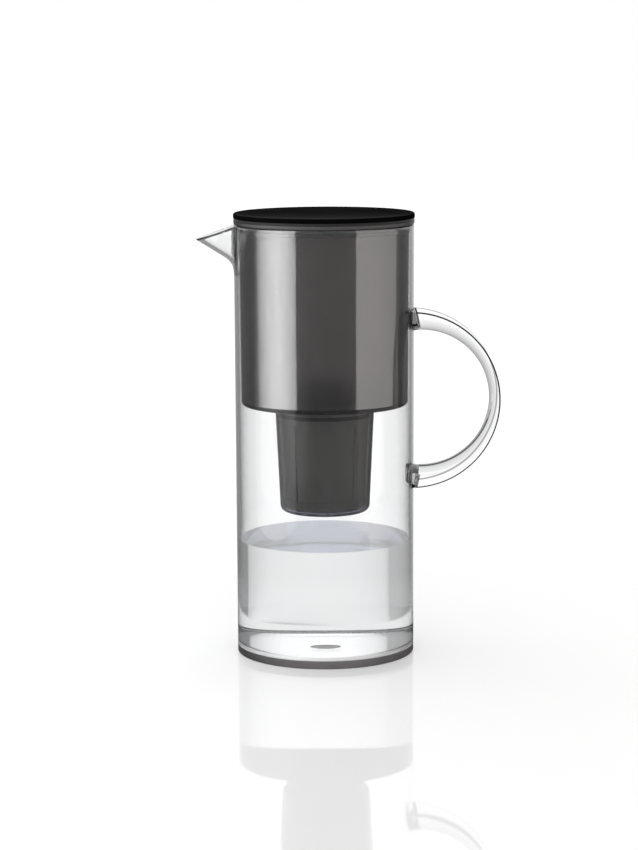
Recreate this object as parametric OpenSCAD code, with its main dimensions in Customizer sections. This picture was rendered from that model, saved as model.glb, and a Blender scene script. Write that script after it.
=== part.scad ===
// Water filter pitcher: a clear jug with a drop-in smoke reservoir, a filter cartridge and a flat lid.
// Millimetres. The origin is on the jug's axis at table height, +Z is up, the spout points to -X
// and the handle to +X.

/* [Jug] */
// Outside diameter of the jug at its rim
jug_d = 110; // [104:1:124]
// How much narrower the jug is at the table, on the diameter
jug_draft = 0.8; // [0:0.1:1.6]
// Height of the rim above the table
rim_z = 264.8; // [250:0.2:290]
// Thickness of the jug wall
jug_wall = 2.3; // [1.8:0.1:3]
// Radius that rounds the rim, inside and outside
rim_round = 0.7; // [0.3:0.1:0.8]
// Inside radius of the corner between wall and floor
floor_fillet = 1.5; // [1:0.5:6]
// Height of the floor's underside above the table
floor_gap = 2; // [1:0.1:2.5]
// How far the floor's top stands above the foot ring
floor_rise = 0.6; // [0.4:0.1:3]
// Diameter of the moulding dimple under the middle of the floor
gate_d = 14; // [8:0.5:18]
// Depth of the moulding dimple
gate_depth = 1.2; // [0.4:0.1:1.4]

/* [Foot ring] */
// Height of the dark ring that the jug stands on
foot_h = 5; // [4:0.1:8]
// Radial width of the ring
foot_w = 2.8; // [2.2:0.1:4]

/* [Spout] */
// Outside radius of the tube-shaped spout
spout_r = 14; // [11:0.5:17]
// Wall thickness of the spout
spout_wall = 2.2; // [1.8:0.1:2.8]
// How far the lip reaches past the jug wall
spout_reach = 23.7; // [18:0.1:30]
// Angle at which the underside of the spout rises outwards
spout_rise = 31.8; // [25:0.2:40]
// Angle at which the lip falls outwards
lip_fall = 18.4; // [12:0.2:24]
// Radius of the bend between the jug wall and the underside of the spout
spout_bend = 12.5; // [8:0.5:18]
// How far inside the jug wall the bend starts
spout_sink = 0.2; // [0.1:0.1:0.6]

/* [Handle] */
// Width of the handle, from side to side
handle_w = 29; // [22:0.5:34]
// Radius of the handle's outer arc
handle_r = 54.3; // [48:0.1:64]
// Height of the handle's middle above the table
handle_z = 158; // [140:1:175]
// How far the outer arc's centre lies inside the jug wall
handle_set = 1.9; // [0:0.1:4]
// Thickness of the handle at the jug
handle_root_t = 12.2; // [10:0.1:16]
// Thickness of the handle at its outermost point
handle_grip_t = 6.2; // [5:0.1:9]
// How far the inner face of the handle swells towards the fingers
handle_bulge = 3; // [1:0.1:4]
// Angle by which the handle's ends lean away from the wall towards the fingers
handle_lean = 11; // [4:1:15]
// How far the pads that carry the handle stand off the jug wall at the handle's outer arc
pad_stand = 0.1; // [0.1:0.1:3]
// Thickness of the bond between pad and handle
bond_t = 0.4; // [0.3:0.1:1.2]

/* [Reservoir] */
// Gap between the jug and the reservoir at the rim
bucket_gap = 0.9; // [0.6:0.1:1.6]
// How much narrower the reservoir is at its floor, on the radius
bucket_draft = 0.7; // [0:0.1:2]
// Depth of the reservoir below the rim
bucket_depth = 110.4; // [90:0.2:125]
// Wall thickness of the reservoir
bucket_wall = 2; // [1.6:0.1:2.6]
// Outside radius of the corner between wall and floor of the reservoir
bucket_corner = 3; // [1:0.5:6]
// Height of the flange that sits on the rim
flange_h = 4.1; // [3:0.1:6]
// How far the flange stands out past the jug
flange_over = 0.2; // [0:0.1:1]
// Size of the bevel under the edge of the flange
flange_bevel = 1.2; // [0.4:0.1:1.6]

/* [Cartridge well] */
// Outside radius of the well at the reservoir's floor
well_r_top = 30.5; // [27:0.5:36]
// Outside radius of the well at its lower end
well_r_end = 27.4; // [22:0.1:27.5]
// Depth of the well below the reservoir
well_depth = 66.4; // [55:0.2:75]
// Wall thickness of the well
well_wall = 1.8; // [1.4:0.1:2.4]
// Outside radius of the well's lower corner
well_corner = 4; // [2.5:0.5:5]
// Diameter of each drain hole in the well
drain_d = 5; // [3:0.5:7]
// Number of drain holes in the ring
drain_count = 6; // [4:1:8]
// Radius of the ring of drain holes
drain_ring = 14; // [11:0.5:17]

/* [Lid] */
// How far the lid stands out past the jug
lid_over = 0.4; // [0.2:0.1:1.5]
// Height of the lid's edge
lid_t = 3.1; // [2.6:0.1:5]
// Radius of the lid's rounded edge
lid_round = 1.2; // [0.5:0.1:1.4]
// Width of the raised border around the lid's top
lid_border = 3; // [2:0.5:6]
// Depth of the dished top inside the border
lid_dish = 0.6; // [0.2:0.1:1]
// Depth of the skirt that goes down into the reservoir
skirt_depth = 9; // [7:0.5:14]
// Thickness of the skirt
skirt_wall = 2; // [1.6:0.1:3]
// Gap between the skirt and the reservoir
skirt_gap = 0.8; // [0.6:0.1:1.2]

/* [Seals] */
// Height of the seals' grooves
seal_h = 2.4; // [1.6:0.1:3]
// Depth of the seals' grooves
seal_groove = 0.8; // [0.4:0.1:1]
// Gap between a seal and the wall that it works against
seal_gap = 0.35; // [0.3:0.05:0.5]
// Distance from a seal to the edge above it
seal_drop = 2; // [1.5:0.1:3]

/* [Cartridge] */
// Gap between the cartridge and its well
cartridge_gap = 0.7; // [0.5:0.1:1.2]
// Height of the cartridge shell
shell_h = 62; // [50:1:66]
// Wall thickness of the cartridge shell
shell_wall = 1.6; // [1.4:0.1:2.2]
// Thickness of the shell's floor
shell_floor_t = 2.4; // [2:0.1:3.5]
// Depth of the panels pressed into the shell's side
panel_depth = 0.6; // [0.3:0.1:0.8]
// Number of panels, with a standing rib between each two
panel_count = 4; // [3:1:6]
// Width of each rib between two panels, as an angle
rib_angle = 7; // [4:1:14]
// Height of the plain band under and over the panels
panel_margin = 7; // [6:0.5:9]
// Number of outlet slots in the shell's bottom
outlet_count = 8; // [4:1:10]
// Width of each outlet slot
outlet_w = 2; // [1.2:0.1:2.6]
// Height of the cap above the shell
cap_h = 7; // [5.5:0.5:9]
// Thickness of the cap
cap_t = 1.8; // [1.4:0.1:2.4]
// Number of inlet slots in the cap
inlet_count = 12; // [6:1:16]
// Width of each inlet slot
inlet_w = 2; // [1.2:0.1:2.6]
// Thickness of the grip bar across the cap
grip_t = 3; // [2:0.1:4]
// Height of the grip bar above the cap
grip_h = 10; // [7:0.5:14]
// Length of the grip bar
grip_l = 24; // [18:1:28]
// Thickness of each screen
screen_t = 0.8; // [0.5:0.1:1.2]
// Thickness of the fleece between the two beds
fleece_t = 2; // [1:0.1:3]
// Height of the resin bed
resin_h = 26; // [20:1:30]
// Free room between the top screen and the cap
head_room = 3; // [2:0.5:5]
// Gap between the filling and the shell
fill_gap = 0.2; // [0.1:0.05:0.4]

/* [Hidden] */
$fn = 96;

// Overlap that makes a cut or a joint inside one piece clean
lap = 1;
clear_plastic = [0.86, 0.89, 0.91, 0.35];
smoke_plastic = [0.27, 0.26, 0.26, 0.8];
foot_grey = [0.34, 0.33, 0.33];
lid_black = [0.05, 0.05, 0.05];
seal_grey = [0.45, 0.45, 0.46];
cartridge_white = [0.9, 0.91, 0.9];
screen_white = [0.82, 0.84, 0.85];
carbon_black = [0.09, 0.09, 0.1];
resin_amber = [0.72, 0.56, 0.3];

// Jug
jug_r = jug_d / 2;
floor_top = foot_h + floor_rise;
spigot_r = jug_out(foot_h) - foot_w;
function jug_out(z) = jug_r - jug_draft / 2 * (1 - z / rim_z);
function bore(z) = jug_out(z) - jug_wall;

// Spout: a tube that leaves the wall in a bend and rises to the lip
bend_sweep = 90 - spout_rise;
tip_x = -jug_r - spout_reach;
tip_z = rim_z - (spout_reach + jug_wall) * tan(lip_fall);
bend_x = spout_sink - jug_r - spout_bend;
bend_z = tip_z - spout_bend * sin(bend_sweep)
    - (bend_x + spout_bend * cos(bend_sweep) - tip_x) * tan(spout_rise);
spout_run = 3 * spout_r + spout_reach;

// Handle: the crescent between two arcs whose centres lie apart
handle_x = jug_r - handle_set;
finger_r = handle_r - handle_root_t;
finger_x = handle_x + handle_r - handle_grip_t - finger_r;
bulge_r = (handle_w * handle_w / 4 + handle_bulge * handle_bulge) / (2 * handle_bulge);
function end_x(h) = jug_r + pad_stand + (handle_r - abs(h)) * tan(handle_lean);

// Reservoir and well
bucket_r = bore(rim_z) - bucket_gap;
bucket_z = rim_z - bucket_depth;
flange_top = rim_z + flange_h;
flange_r = jug_r + flange_over;
well_z = bucket_z - well_depth;
well_seat = well_z + well_wall;
reservoir_seal_z = rim_z - seal_drop - seal_h;
function bucket_out(z) = bucket_r - bucket_draft * (rim_z - z) / bucket_depth;
function bucket_in(z) = bucket_out(z) - bucket_wall;
function well_out(z) = well_r_end + (well_r_top - well_r_end) * (z - well_z) / well_depth;
function well_in(z) = well_out(z) - well_wall;

// Lid
lid_r = jug_r + lid_over;
lid_top = flange_top + lid_t;
skirt_z = flange_top - skirt_depth;
skirt_r = bucket_in(skirt_z) - skirt_gap;
lid_seal_z = skirt_z + seal_drop;

// Cartridge, standing on the floor of the well
shell_top = well_seat + shell_h;
shell_floor = well_seat + shell_floor_t;
cartridge_seal_z = shell_top - seal_drop - seal_h;
bottom_screen_z = shell_floor;
resin_z = bottom_screen_z + screen_t;
fleece_z = resin_z + resin_h;
carbon_z = fleece_z + fleece_t;
top_screen_z = shell_top - head_room - screen_t;
cap_top = shell_top + cap_h;
function shell_out(z) = well_in(z) - cartridge_gap;
function shell_in(z) = shell_out(z) - shell_wall;

// Points along an arc about a centre, from one angle to another
function arc(c, r, from, to, steps = 8) =
    [for (i = [0:steps]) let (a = from + (to - from) * i / steps) c + r * [cos(a), sin(a)]];

// A solid of revolution about the vertical axis from an outline of [radius, height] points
module turned(outline) {
    rotate_extrude() polygon(outline);
}

// A ring of rectangular section
module ring(r_in, r_out, z, h) {
    translate([0, 0, z]) difference() {
        cylinder(r = r_out, h = h);
        translate([0, 0, -lap]) cylinder(r = r_in, h = h + 2 * lap);
    }
}

// A round plug that tapers with the inside of the cartridge shell
module shell_fill(z, h) {
    translate([0, 0, z])
        cylinder(r1 = shell_in(z) - fill_gap, r2 = shell_in(z + h) - fill_gap, h = h);
}

// The outside of the jug, without spout and handle pads
module jug_outside() {
    rim_out = jug_out(rim_z) - rim_round;
    turned(concat(
        [[0, floor_gap], [spigot_r, floor_gap], [spigot_r, foot_h], [jug_out(foot_h), foot_h]],
        arc([rim_out, rim_z - rim_round], rim_round, 0, 90),
        [[0, rim_z]]));
}

// The space inside the jug, open at the top
module jug_inside() {
    corner_r = bore(floor_top + floor_fillet) - floor_fillet;
    turned(concat(
        [[0, floor_top]],
        arc([corner_r, floor_top + floor_fillet], floor_fillet, -90, 0),
        arc([bore(rim_z) + rim_round, rim_z - rim_round], rim_round, 180, 90),
        [[bore(rim_z) + rim_round, rim_z + lap], [0, rim_z + lap]]));
}

// A tube along the spout's path, from inside the jug out past the lip
module spout_tube(r) {
    bend_path = spout_bend + spout_r;
    translate([bend_x, 0, bend_z]) rotate([90, 0, 0]) rotate(bend_sweep) {
        rotate_extrude(angle = -bend_sweep) translate([bend_path, 0]) circle(r = r);
        translate([bend_path, 0]) rotate([-90, 0, 0]) cylinder(r = r, h = spout_run);
    }
}

// The outside of the spout, cut along the falling lip and level with the rim
module spout_outside() {
    room = 2 * spout_run;
    difference() {
        spout_tube(spout_r);
        translate([-bore(rim_z), 0, rim_z]) rotate([0, -lip_fall, 0])
            translate([-room, -room, 0]) cube(2 * room);
        translate([-room, -room, rim_z]) cube(2 * room);
    }
}

// The part of the handle's crescent that lies between two distances from its leaning ends
module handle_stretch(from, to) {
    room = 2 * handle_r;
    intersection() {
        difference() {
            translate([handle_x, handle_w / 2, handle_z]) rotate([90, 0, 0])
                cylinder(r = handle_r, h = handle_w);
            translate([finger_x, 0, handle_z]) rotate([90, 0, 0]) rotate_extrude()
                difference() {
                    translate([0, -handle_w]) square([finger_r + bulge_r, 2 * handle_w]);
                    translate([finger_r + bulge_r, 0]) circle(r = bulge_r);
                }
        }
        translate([0, handle_w, handle_z]) rotate([90, 0, 0]) linear_extrude(2 * handle_w) polygon([
            [end_x(room) + from, room], [end_x(0) + from, 0], [end_x(room) + from, -room],
            [end_x(room) + to, -room], [end_x(0) + to, 0], [end_x(room) + to, room]]);
    }
}

module jug_body() {
    gate_r = (gate_d * gate_d / 4 + gate_depth * gate_depth) / (2 * gate_depth);
    color(clear_plastic) difference() {
        union() {
            jug_outside();
            spout_outside();
            handle_stretch(-handle_w / 4, 0);
        }
        jug_inside();
        spout_tube(spout_r - spout_wall);
        translate([0, 0, floor_gap + gate_depth - gate_r]) sphere(r = gate_r);
    }
}

module handle() {
    color(clear_plastic) handle_stretch(bond_t, 3 * handle_r);
}

module handle_bond() {
    color(seal_grey) handle_stretch(0, bond_t);
}

module foot_ring() {
    color(foot_grey) ring(spigot_r, jug_out(foot_h), 0, foot_h);
}

module reservoir() {
    floor_in = bucket_z + bucket_wall;
    corner_in = bucket_corner - bucket_wall / 2;
    corner_z = bucket_z + bucket_corner;
    well_foot = well_z + well_corner;
    well_foot_in = well_corner - well_wall / 2;
    color(smoke_plastic) difference() {
        turned(concat(
            [[0, well_z]],
            arc([well_out(well_foot) - well_corner, well_foot], well_corner, -90, 0),
            [[well_out(bucket_z), bucket_z]],
            arc([bucket_out(corner_z) - bucket_corner, corner_z], bucket_corner, -90, 0),
            [[bucket_out(rim_z), rim_z],
             [flange_r - flange_bevel, rim_z],
             [flange_r, rim_z + flange_bevel],
             [flange_r, flange_top],
             [bucket_in(rim_z), flange_top],
             [bucket_in(floor_in + corner_in), floor_in + corner_in]],
            arc([bucket_in(floor_in + corner_in) - corner_in, floor_in + corner_in], corner_in, 0, -90),
            [[well_in(floor_in), floor_in]],
            arc([well_in(well_seat + well_foot_in) - well_foot_in, well_seat + well_foot_in],
                well_foot_in, 0, -90),
            [[0, well_seat]]));
        ring(bucket_out(reservoir_seal_z) - seal_groove, bucket_r + lap, reservoir_seal_z, seal_h);
        translate([0, 0, well_z - lap]) {
            cylinder(d = drain_d, h = well_wall + 2 * lap);
            for (i = [1:drain_count])
                rotate(i * 360 / drain_count) translate([drain_ring, 0])
                    cylinder(d = drain_d, h = well_wall + 2 * lap);
        }
    }
}

module reservoir_seal() {
    color(seal_grey) ring(bucket_out(reservoir_seal_z) - seal_groove, bore(reservoir_seal_z) - seal_gap,
        reservoir_seal_z, seal_h);
}

module lid() {
    border_r = lid_r - lid_border;
    dish_slope = 3 * lid_dish;
    color(lid_black) difference() {
        turned(concat(
            [[0, flange_top], [skirt_r - skirt_wall, flange_top], [skirt_r - skirt_wall, skirt_z],
             [skirt_r, skirt_z], [skirt_r, flange_top]],
            arc([lid_r - lid_round / 2, flange_top + lid_round / 2], lid_round / 2, -90, 0),
            arc([lid_r - lid_round, lid_top - lid_round], lid_round, 0, 90),
            [[border_r, lid_top], [border_r - dish_slope, lid_top - lid_dish], [0, lid_top - lid_dish]]));
        ring(skirt_r - seal_groove, skirt_r + lap, lid_seal_z, seal_h);
    }
}

module lid_seal() {
    color(seal_grey) ring(skirt_r - seal_groove, bucket_in(lid_seal_z) - seal_gap, lid_seal_z, seal_h);
}

module cartridge_shell() {
    foot_z = well_seat + well_corner;
    panel_z = well_seat + panel_margin;
    panel_top = cartridge_seal_z - panel_margin / 2;
    panel_angle = 360 / panel_count - rib_angle;
    slot_r = 0.3 * shell_in(shell_floor);
    slot_l = 0.45 * shell_in(shell_floor);
    color(cartridge_white) difference() {
        turned(concat(
            [[0, well_seat]],
            arc([shell_out(foot_z) - well_corner, foot_z], well_corner, -90, 0),
            [[shell_out(shell_top), shell_top],
             [shell_in(shell_top), shell_top],
             [shell_in(shell_floor), shell_floor],
             [0, shell_floor]]));
        for (i = [1:panel_count])
            rotate(i * 360 / panel_count + rib_angle / 2 + 180 / panel_count)
                rotate_extrude(angle = panel_angle) polygon([
                    [shell_out(panel_z) - panel_depth, panel_z],
                    [shell_out(panel_z) + lap, panel_z],
                    [shell_out(panel_top) + lap, panel_top],
                    [shell_out(panel_top) - panel_depth, panel_top]]);
        for (i = [1:outlet_count])
            rotate(i * 360 / outlet_count) translate([slot_r, -outlet_w / 2, well_seat - lap])
                cube([slot_l, outlet_w, shell_floor_t + 2 * lap]);
        ring(shell_out(cartridge_seal_z) - seal_groove, shell_out(shell_top) + lap, cartridge_seal_z, seal_h);
    }
}

module cartridge_cap() {
    cap_r = shell_out(shell_top);
    crown_r = cap_r / 2;
    slot_r = crown_r + cap_t;
    color(cartridge_white) difference() {
        union() {
            turned([
                [0, cap_top - cap_t], [crown_r, cap_top - cap_t], [cap_r - cap_t, shell_top + cap_t],
                [cap_r - cap_t, shell_top], [cap_r, shell_top], [cap_r, shell_top + cap_t],
                [crown_r, cap_top], [0, cap_top]]);
            translate([-grip_l / 2, -grip_t / 2, cap_top - cap_t / 2])
                cube([grip_l, grip_t, cap_t / 2 + grip_h]);
        }
        for (i = [1:inlet_count])
            rotate((i + 0.5) * 360 / inlet_count) translate([slot_r, -inlet_w / 2, shell_top + cap_t])
                cube([cap_r - 2 * cap_t - slot_r, inlet_w, cap_h]);
    }
}

module cartridge_seal() {
    color(seal_grey) ring(shell_out(cartridge_seal_z) - seal_groove, well_in(cartridge_seal_z) - seal_gap,
        cartridge_seal_z, seal_h);
}

module top_screen() {
    color(screen_white) shell_fill(top_screen_z, screen_t);
}

module carbon_bed() {
    color(carbon_black) shell_fill(carbon_z, top_screen_z - carbon_z);
}

module divider_fleece() {
    color(screen_white) shell_fill(fleece_z, fleece_t);
}

module resin_bed() {
    color(resin_amber) shell_fill(resin_z, resin_h);
}

module bottom_screen() {
    color(screen_white) shell_fill(bottom_screen_z, screen_t);
}

jug_body();
handle();
handle_bond();
foot_ring();
reservoir();
reservoir_seal();
lid();
lid_seal();
cartridge_shell();
cartridge_cap();
cartridge_seal();
top_screen();
carbon_bed();
divider_fleece();
resin_bed();
bottom_screen();
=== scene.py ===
import math

import bpy
import numpy as np
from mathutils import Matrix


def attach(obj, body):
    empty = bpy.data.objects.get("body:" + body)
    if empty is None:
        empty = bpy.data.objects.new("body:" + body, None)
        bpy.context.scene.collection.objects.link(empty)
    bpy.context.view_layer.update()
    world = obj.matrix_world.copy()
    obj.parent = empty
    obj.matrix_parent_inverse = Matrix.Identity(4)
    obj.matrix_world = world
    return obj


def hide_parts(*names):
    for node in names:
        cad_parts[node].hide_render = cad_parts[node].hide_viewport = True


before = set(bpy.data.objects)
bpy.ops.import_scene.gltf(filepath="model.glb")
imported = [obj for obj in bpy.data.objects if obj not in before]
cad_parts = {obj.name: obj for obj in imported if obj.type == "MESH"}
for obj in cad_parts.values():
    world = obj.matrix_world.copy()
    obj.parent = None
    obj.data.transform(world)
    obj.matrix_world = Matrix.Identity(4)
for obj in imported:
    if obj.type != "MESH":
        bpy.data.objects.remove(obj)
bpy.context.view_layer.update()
scene = bpy.context.scene
MM = 0.001

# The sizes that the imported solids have, in millimetres
JUG_R = 55.0
JUG_DRAFT = 0.8
RIM_Z = 264.8
JUG_WALL = 2.3
FLOOR_TOP = 5.6
FLOOR_GAP = 2.0
GATE_R = 7.0
GATE_DEPTH = 1.2
FOOT_H = 5.0
FOOT_W = 2.8
SPOUT_R = 14.0
SPOUT_WALL = 2.2
SPOUT_REACH = 23.7
SPOUT_RISE = math.radians(31.8)
LIP_FALL = math.radians(18.4)
SPOUT_BEND = 12.5
SPOUT_SINK = 0.2
HANDLE_W = 29.0
HANDLE_R = 54.3
HANDLE_Z = 158.0
HANDLE_SET = 1.9
HANDLE_ROOT_T = 12.2
HANDLE_GRIP_T = 6.2
HANDLE_BULGE = 3.0
HANDLE_LEAN = math.radians(11)
PAD_STAND = 0.1
BOND_T = 0.4
BUCKET_R = 51.8
BUCKET_DRAFT = 0.7
BUCKET_DEPTH = 110.4
BUCKET_WALL = 2.0
BUCKET_CORNER = 3.0
FLANGE_TOP = 268.9
FLANGE_R = 55.2
FLANGE_BEVEL = 1.2
BRIM_Z = 267.1
WELL_R_TOP = 30.5
WELL_R_END = 27.4
WELL_Z = 88.0
WELL_WALL = 1.8
WELL_CORNER = 4.0
SEAL_Z = 260.4
SEAL_H = 2.4
SEAL_GROOVE = 0.8
LID_R = 55.4
LID_TOP = 272.0
LID_ROUND = 1.2
LID_BORDER = 3.0
LID_DISH = 0.6
SKIRT_Z = 259.9
SKIRT_WALL = 2.0
SKIRT_GAP = 0.8
SKIRT_SEAL_Z = 261.9

# Values of the scene alone. The corner between the jug's wall and floor is tighter than the solid's 1.5 mm, so
# that the foot shows as in the photograph, and the handle bends light very little, so that its edges do.
FLOOR_FILLET = 0.5
CORNER_Z = 7.5
WATER_Z = 71.5
HANDLE_IOR = 1.002
SHARP_DEG = 38


def jug_out(z):
    return JUG_R - JUG_DRAFT / 2 * (1 - z / RIM_Z)


def bore(z):
    return jug_out(z) - JUG_WALL


def bucket_out(z):
    return BUCKET_R - BUCKET_DRAFT * (RIM_Z - z) / BUCKET_DEPTH


def bucket_in(z):
    return bucket_out(z) - BUCKET_WALL


BUCKET_Z = RIM_Z - BUCKET_DEPTH
SKIRT_R = bucket_in(SKIRT_Z) - SKIRT_GAP
SPIGOT_R = jug_out(FOOT_H) - FOOT_W
FLOOR_R = bore(FLOOR_TOP + FLOOR_FILLET) - FLOOR_FILLET


def well_out(z):
    return WELL_R_END + (WELL_R_TOP - WELL_R_END) * (z - WELL_Z) / (BUCKET_Z - WELL_Z)


def well_in(z):
    return well_out(z) - WELL_WALL


# Mesh helpers: points are given in millimetres and kept in metres


def add_mesh(name, points, faces, body, replaced=()):
    mesh = bpy.data.meshes.new(name)
    mesh.from_pydata([tuple(c * MM for c in p) for p in points], [], faces)
    mesh.validate()
    mesh.polygons.foreach_set("use_smooth", [True] * len(mesh.polygons))
    mesh.set_sharp_from_angle(angle=math.radians(SHARP_DEG))
    mesh.update()
    obj = bpy.data.objects.new(name, mesh)
    scene.collection.objects.link(obj)
    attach(obj, body)
    if replaced:
        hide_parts(*replaced)
    return obj


def arc(cx, cy, r, start, end, steps):
    """Points on an arc, with its two ends: angles in degrees."""
    angles = [math.radians(start + (end - start) * i / steps) for i in range(steps + 1)]
    return [(cx + r * math.cos(a), cy + r * math.sin(a)) for a in angles]


def turned(name, outline, body, replaced=(), steps=192):
    """A closed solid of revolution: the outline runs from the axis, round the outside, and back to the axis or
    its own start."""
    points, rows, faces = [], [], []
    angles = [2 * math.pi * j / steps for j in range(steps)]
    for r, z in outline:
        if r < 1e-6:
            rows.append([len(points)] * steps)
            points.append((0.0, 0.0, z))
        else:
            rows.append(list(range(len(points), len(points) + steps)))
            points += [(r * math.cos(a), r * math.sin(a), z) for a in angles]
    closed = outline[0][0] > 1e-6
    pairs = list(zip(rows, rows[1:])) + ([(rows[-1], rows[0])] if closed else [])
    for a, b in pairs:
        for j in range(steps):
            k = (j + 1) % steps
            ring = [a[j], a[k], b[k], b[j]]
            face = [v for i, v in enumerate(ring) if v not in ring[:i]]
            if len(face) > 2:
                faces.append(face)
    return add_mesh(name, points, faces, body, replaced)


# Jug: one moulding, wall, floor, spout and handle pads, as a grid of angles and heights

BEND_SWEEP = math.pi / 2 - SPOUT_RISE
BEND_PATH = SPOUT_BEND + SPOUT_R
TIP_X = -JUG_R - SPOUT_REACH
TIP_Z = RIM_Z - (SPOUT_REACH + JUG_WALL) * math.tan(LIP_FALL)
BEND_X = -(JUG_R - SPOUT_SINK) - SPOUT_BEND
BEND_END_X = BEND_X + SPOUT_BEND * math.cos(BEND_SWEEP)
BEND_Z = TIP_Z - SPOUT_BEND * math.sin(BEND_SWEEP) - (BEND_END_X - TIP_X) * math.tan(SPOUT_RISE)
HANDLE_X = JUG_R - HANDLE_SET
FINGER_R = HANDLE_R - HANDLE_ROOT_T
FINGER_X = HANDLE_X + HANDLE_R - HANDLE_GRIP_T - FINGER_R
BULGE_R = (HANDLE_W ** 2 / 4 + HANDLE_BULGE ** 2) / (2 * HANDLE_BULGE)
# The height from which the grid follows the spout, and where its spokes start there
GRID_Z = 225.0
POLE_X = -47.0
# How softly the spout's outside and inside and the pads run into the wall
BLEND_OUT = 1.2
BLEND_IN = 2.4
BLEND_PAD = 0.5
# The rounding of the rim, and how much less it is at the tip of the spout
RIM_ROUND = 0.7
TIP_LESS = 0.5


def at_spout(angle):
    return math.cos(angle) < -0.9


def at_pads(angle):
    return math.cos(angle) > 0.9


def tube_distance(x, y, z):
    """Distance from the middle line of the spout's tube."""
    qx, qz = x - BEND_X, z - BEND_Z
    c, s = math.cos(BEND_SWEEP), math.sin(BEND_SWEEP)
    along = -qx * s + qz * c
    across = np.where(along > 0, qx * c + qz * s, np.hypot(qx, qz)) - BEND_PATH
    return np.hypot(across, y)


def smooth_least(a, b, k):
    """The lesser of two fields, with a soft change over within k."""
    h = np.clip(0.5 + 0.5 * (b - a) / k, 0, 1)
    return b + (a - b) * h - k * h * (1 - h)


def end_x(z):
    """Distance from the axis to the pads' end, which leans away from the wall towards the fingers."""
    return JUG_R + PAD_STAND + (HANDLE_R - abs(z - HANDLE_Z)) * math.tan(HANDLE_LEAN)


def pad_inside(x, y, z):
    """Below zero inside the two pads that carry the handle."""
    inner = FINGER_R + BULGE_R - np.sqrt(np.maximum(BULGE_R ** 2 - y ** 2, 0))
    outer = np.hypot(x - HANDLE_X, z - HANDLE_Z) - HANDLE_R
    hole = inner - np.hypot(x - FINGER_X, z - HANDLE_Z)
    return np.maximum.reduce([outer, hole, np.abs(y) - HANDLE_W / 2, x - end_x(z)])


def pole_at(z):
    """Where the grid's spokes start at a height: on the axis, and inside the tube from the spout up, so that each
    one leaves the wall once."""
    t = min(max((z - GRID_Z) / (BEND_Z - GRID_Z - 2), 0), 1)
    return POLE_X * t * t * (3 - 2 * t)


def wall_at(angle, z, outside):
    """The point of the wall at a height on the spoke to an angle of the jug's circle: the last crossing of a
    level line."""
    pole = pole_at(z)
    dx, dy = JUG_R * math.cos(angle) - pole, JUG_R * math.sin(angle)
    reach = math.hypot(dx, dy)
    t = np.linspace(reach - 6, reach + 26, 641) / reach
    x, y = pole + t * dx, t * dy
    field = np.hypot(x, y) - (jug_out(z) if outside else bore(z))
    if z > BEND_Z and at_spout(angle):
        tube = tube_distance(x, y, z) - SPOUT_R
        if outside:
            field = smooth_least(field, tube, BLEND_OUT)
        else:
            field = smooth_least(field, tube + SPOUT_WALL, BLEND_IN)
    if outside and at_pads(angle):
        field = smooth_least(field, pad_inside(x, y, z), BLEND_PAD)
    last = min(np.nonzero(field <= 0)[0][-1], len(t) - 2)
    at = t[last] + (t[last + 1] - t[last]) * field[last] / (field[last] - field[last + 1])
    return pole + at * dx, at * dy


def lip(x):
    """Height of the rim, which falls along the spout."""
    return RIM_Z - max(0.0, -x - bore(RIM_Z)) * math.tan(LIP_FALL)


def rim_at(angle, outside):
    """The height at which the wall at an angle meets the falling lip."""
    low, high = BEND_Z - 8, RIM_Z
    if not at_spout(angle):
        return high
    for _ in range(22):
        mid = (low + high) / 2
        if lip(wall_at(angle, mid, outside)[0]) > mid:
            low = mid
        else:
            high = mid
    return low


def spread(*stretches):
    """Values along a line, from stretches of (start, end, step), without the last end."""
    return [a + (b - a) * i / round((b - a) / s) for a, b, s in stretches for i in range(round((b - a) / s))]


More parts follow.
